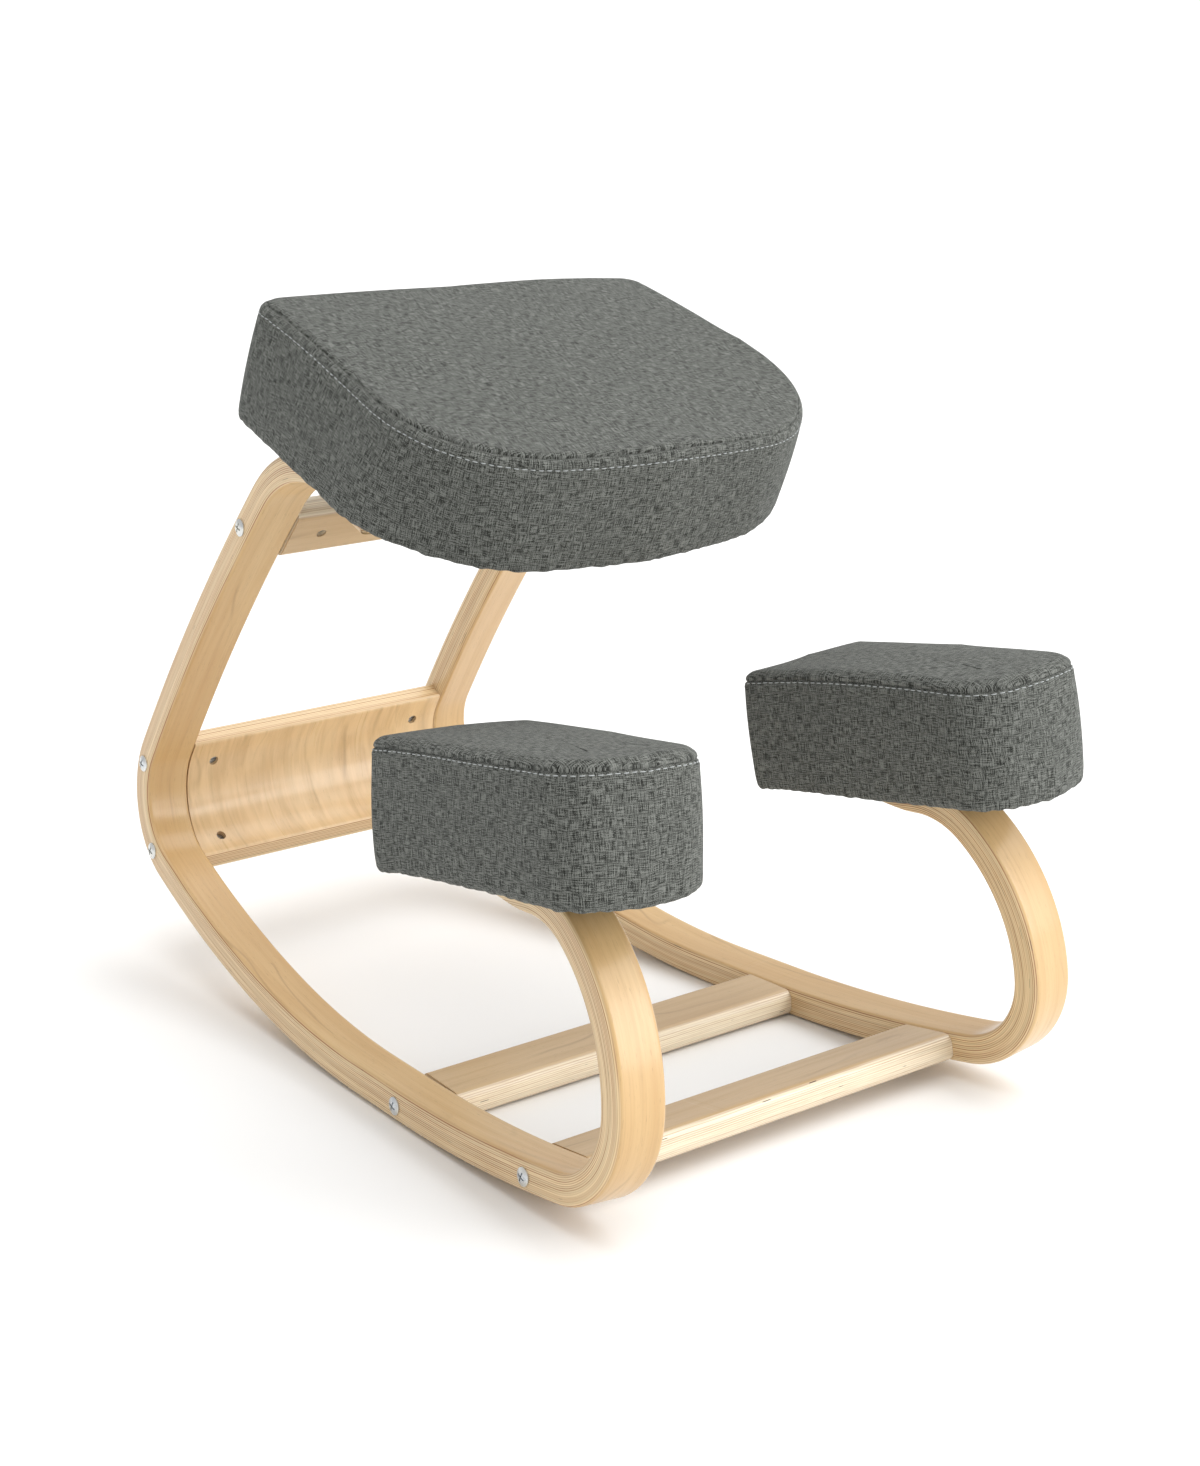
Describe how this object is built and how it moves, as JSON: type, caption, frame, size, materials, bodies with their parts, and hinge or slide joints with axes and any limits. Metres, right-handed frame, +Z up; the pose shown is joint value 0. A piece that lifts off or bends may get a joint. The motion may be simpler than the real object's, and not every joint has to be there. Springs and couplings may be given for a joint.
{
  "type": "kneeling chair",
  "caption": "Rocking kneeling chair: bent laminated runner frames joined by rails and a curved back panel, carrying an upholstered tilted seat and knee pads.",
  "frame": {"origin": "middle of the bounding box in plan, at the level of the floor contact", "axes": "+Z up, -Y the way the sitter faces, +X the sitter's left"},
  "size_m": [0.484, 0.7184, 0.5785],
  "materials": {
    "laminated_wood": "satin",
    "rail_wood": "satin",
    "board_wood": "matte",
    "cushion_foam": "matte",
    "cover_fabric": "matte",
    "dust_cloth": "matte",
    "bolt_steel": "satin",
    "fastener_steel": "satin"
  },
  "bodies": {
    "root": {"back_panel": "laminated_wood", "front_lower_rail": "rail_wood", "front_rail_barrel_nuts": "fastener_steel", "front_rail_bolts": "bolt_steel", "left_knee_pad_board": "board_wood", "left_knee_pad_cover": "cover_fabric", "left_knee_pad_dust_cover": "dust_cloth", "left_knee_pad_foam": "cushion_foam", "left_knee_pad_screws": "fastener_steel", "left_knee_pad_tee_nuts": "fastener_steel", "left_side_frame": "laminated_wood", "panel_barrel_nuts": "fastener_steel", "panel_bolts": "bolt_steel", "rear_lower_rail": "rail_wood", "rear_rail_barrel_nuts": "fastener_steel", "rear_rail_bolts": "bolt_steel", "right_knee_pad_board": "board_wood", "right_knee_pad_cover": "cover_fabric", "right_knee_pad_dust_cover": "dust_cloth", "right_knee_pad_foam": "cushion_foam", "right_knee_pad_screws": "fastener_steel", "right_knee_pad_tee_nuts": "fastener_steel", "right_side_frame": "laminated_wood", "seat_board": "board_wood", "seat_cover": "cover_fabric", "seat_dust_cover": "dust_cloth", "seat_foam": "cushion_foam", "seat_screws": "fastener_steel", "seat_tee_nuts": "fastener_steel", "upper_cross_rail": "rail_wood", "upper_rail_barrel_nuts": "fastener_steel", "upper_rail_bolts": "bolt_steel"}
  },
  "joints": []
}
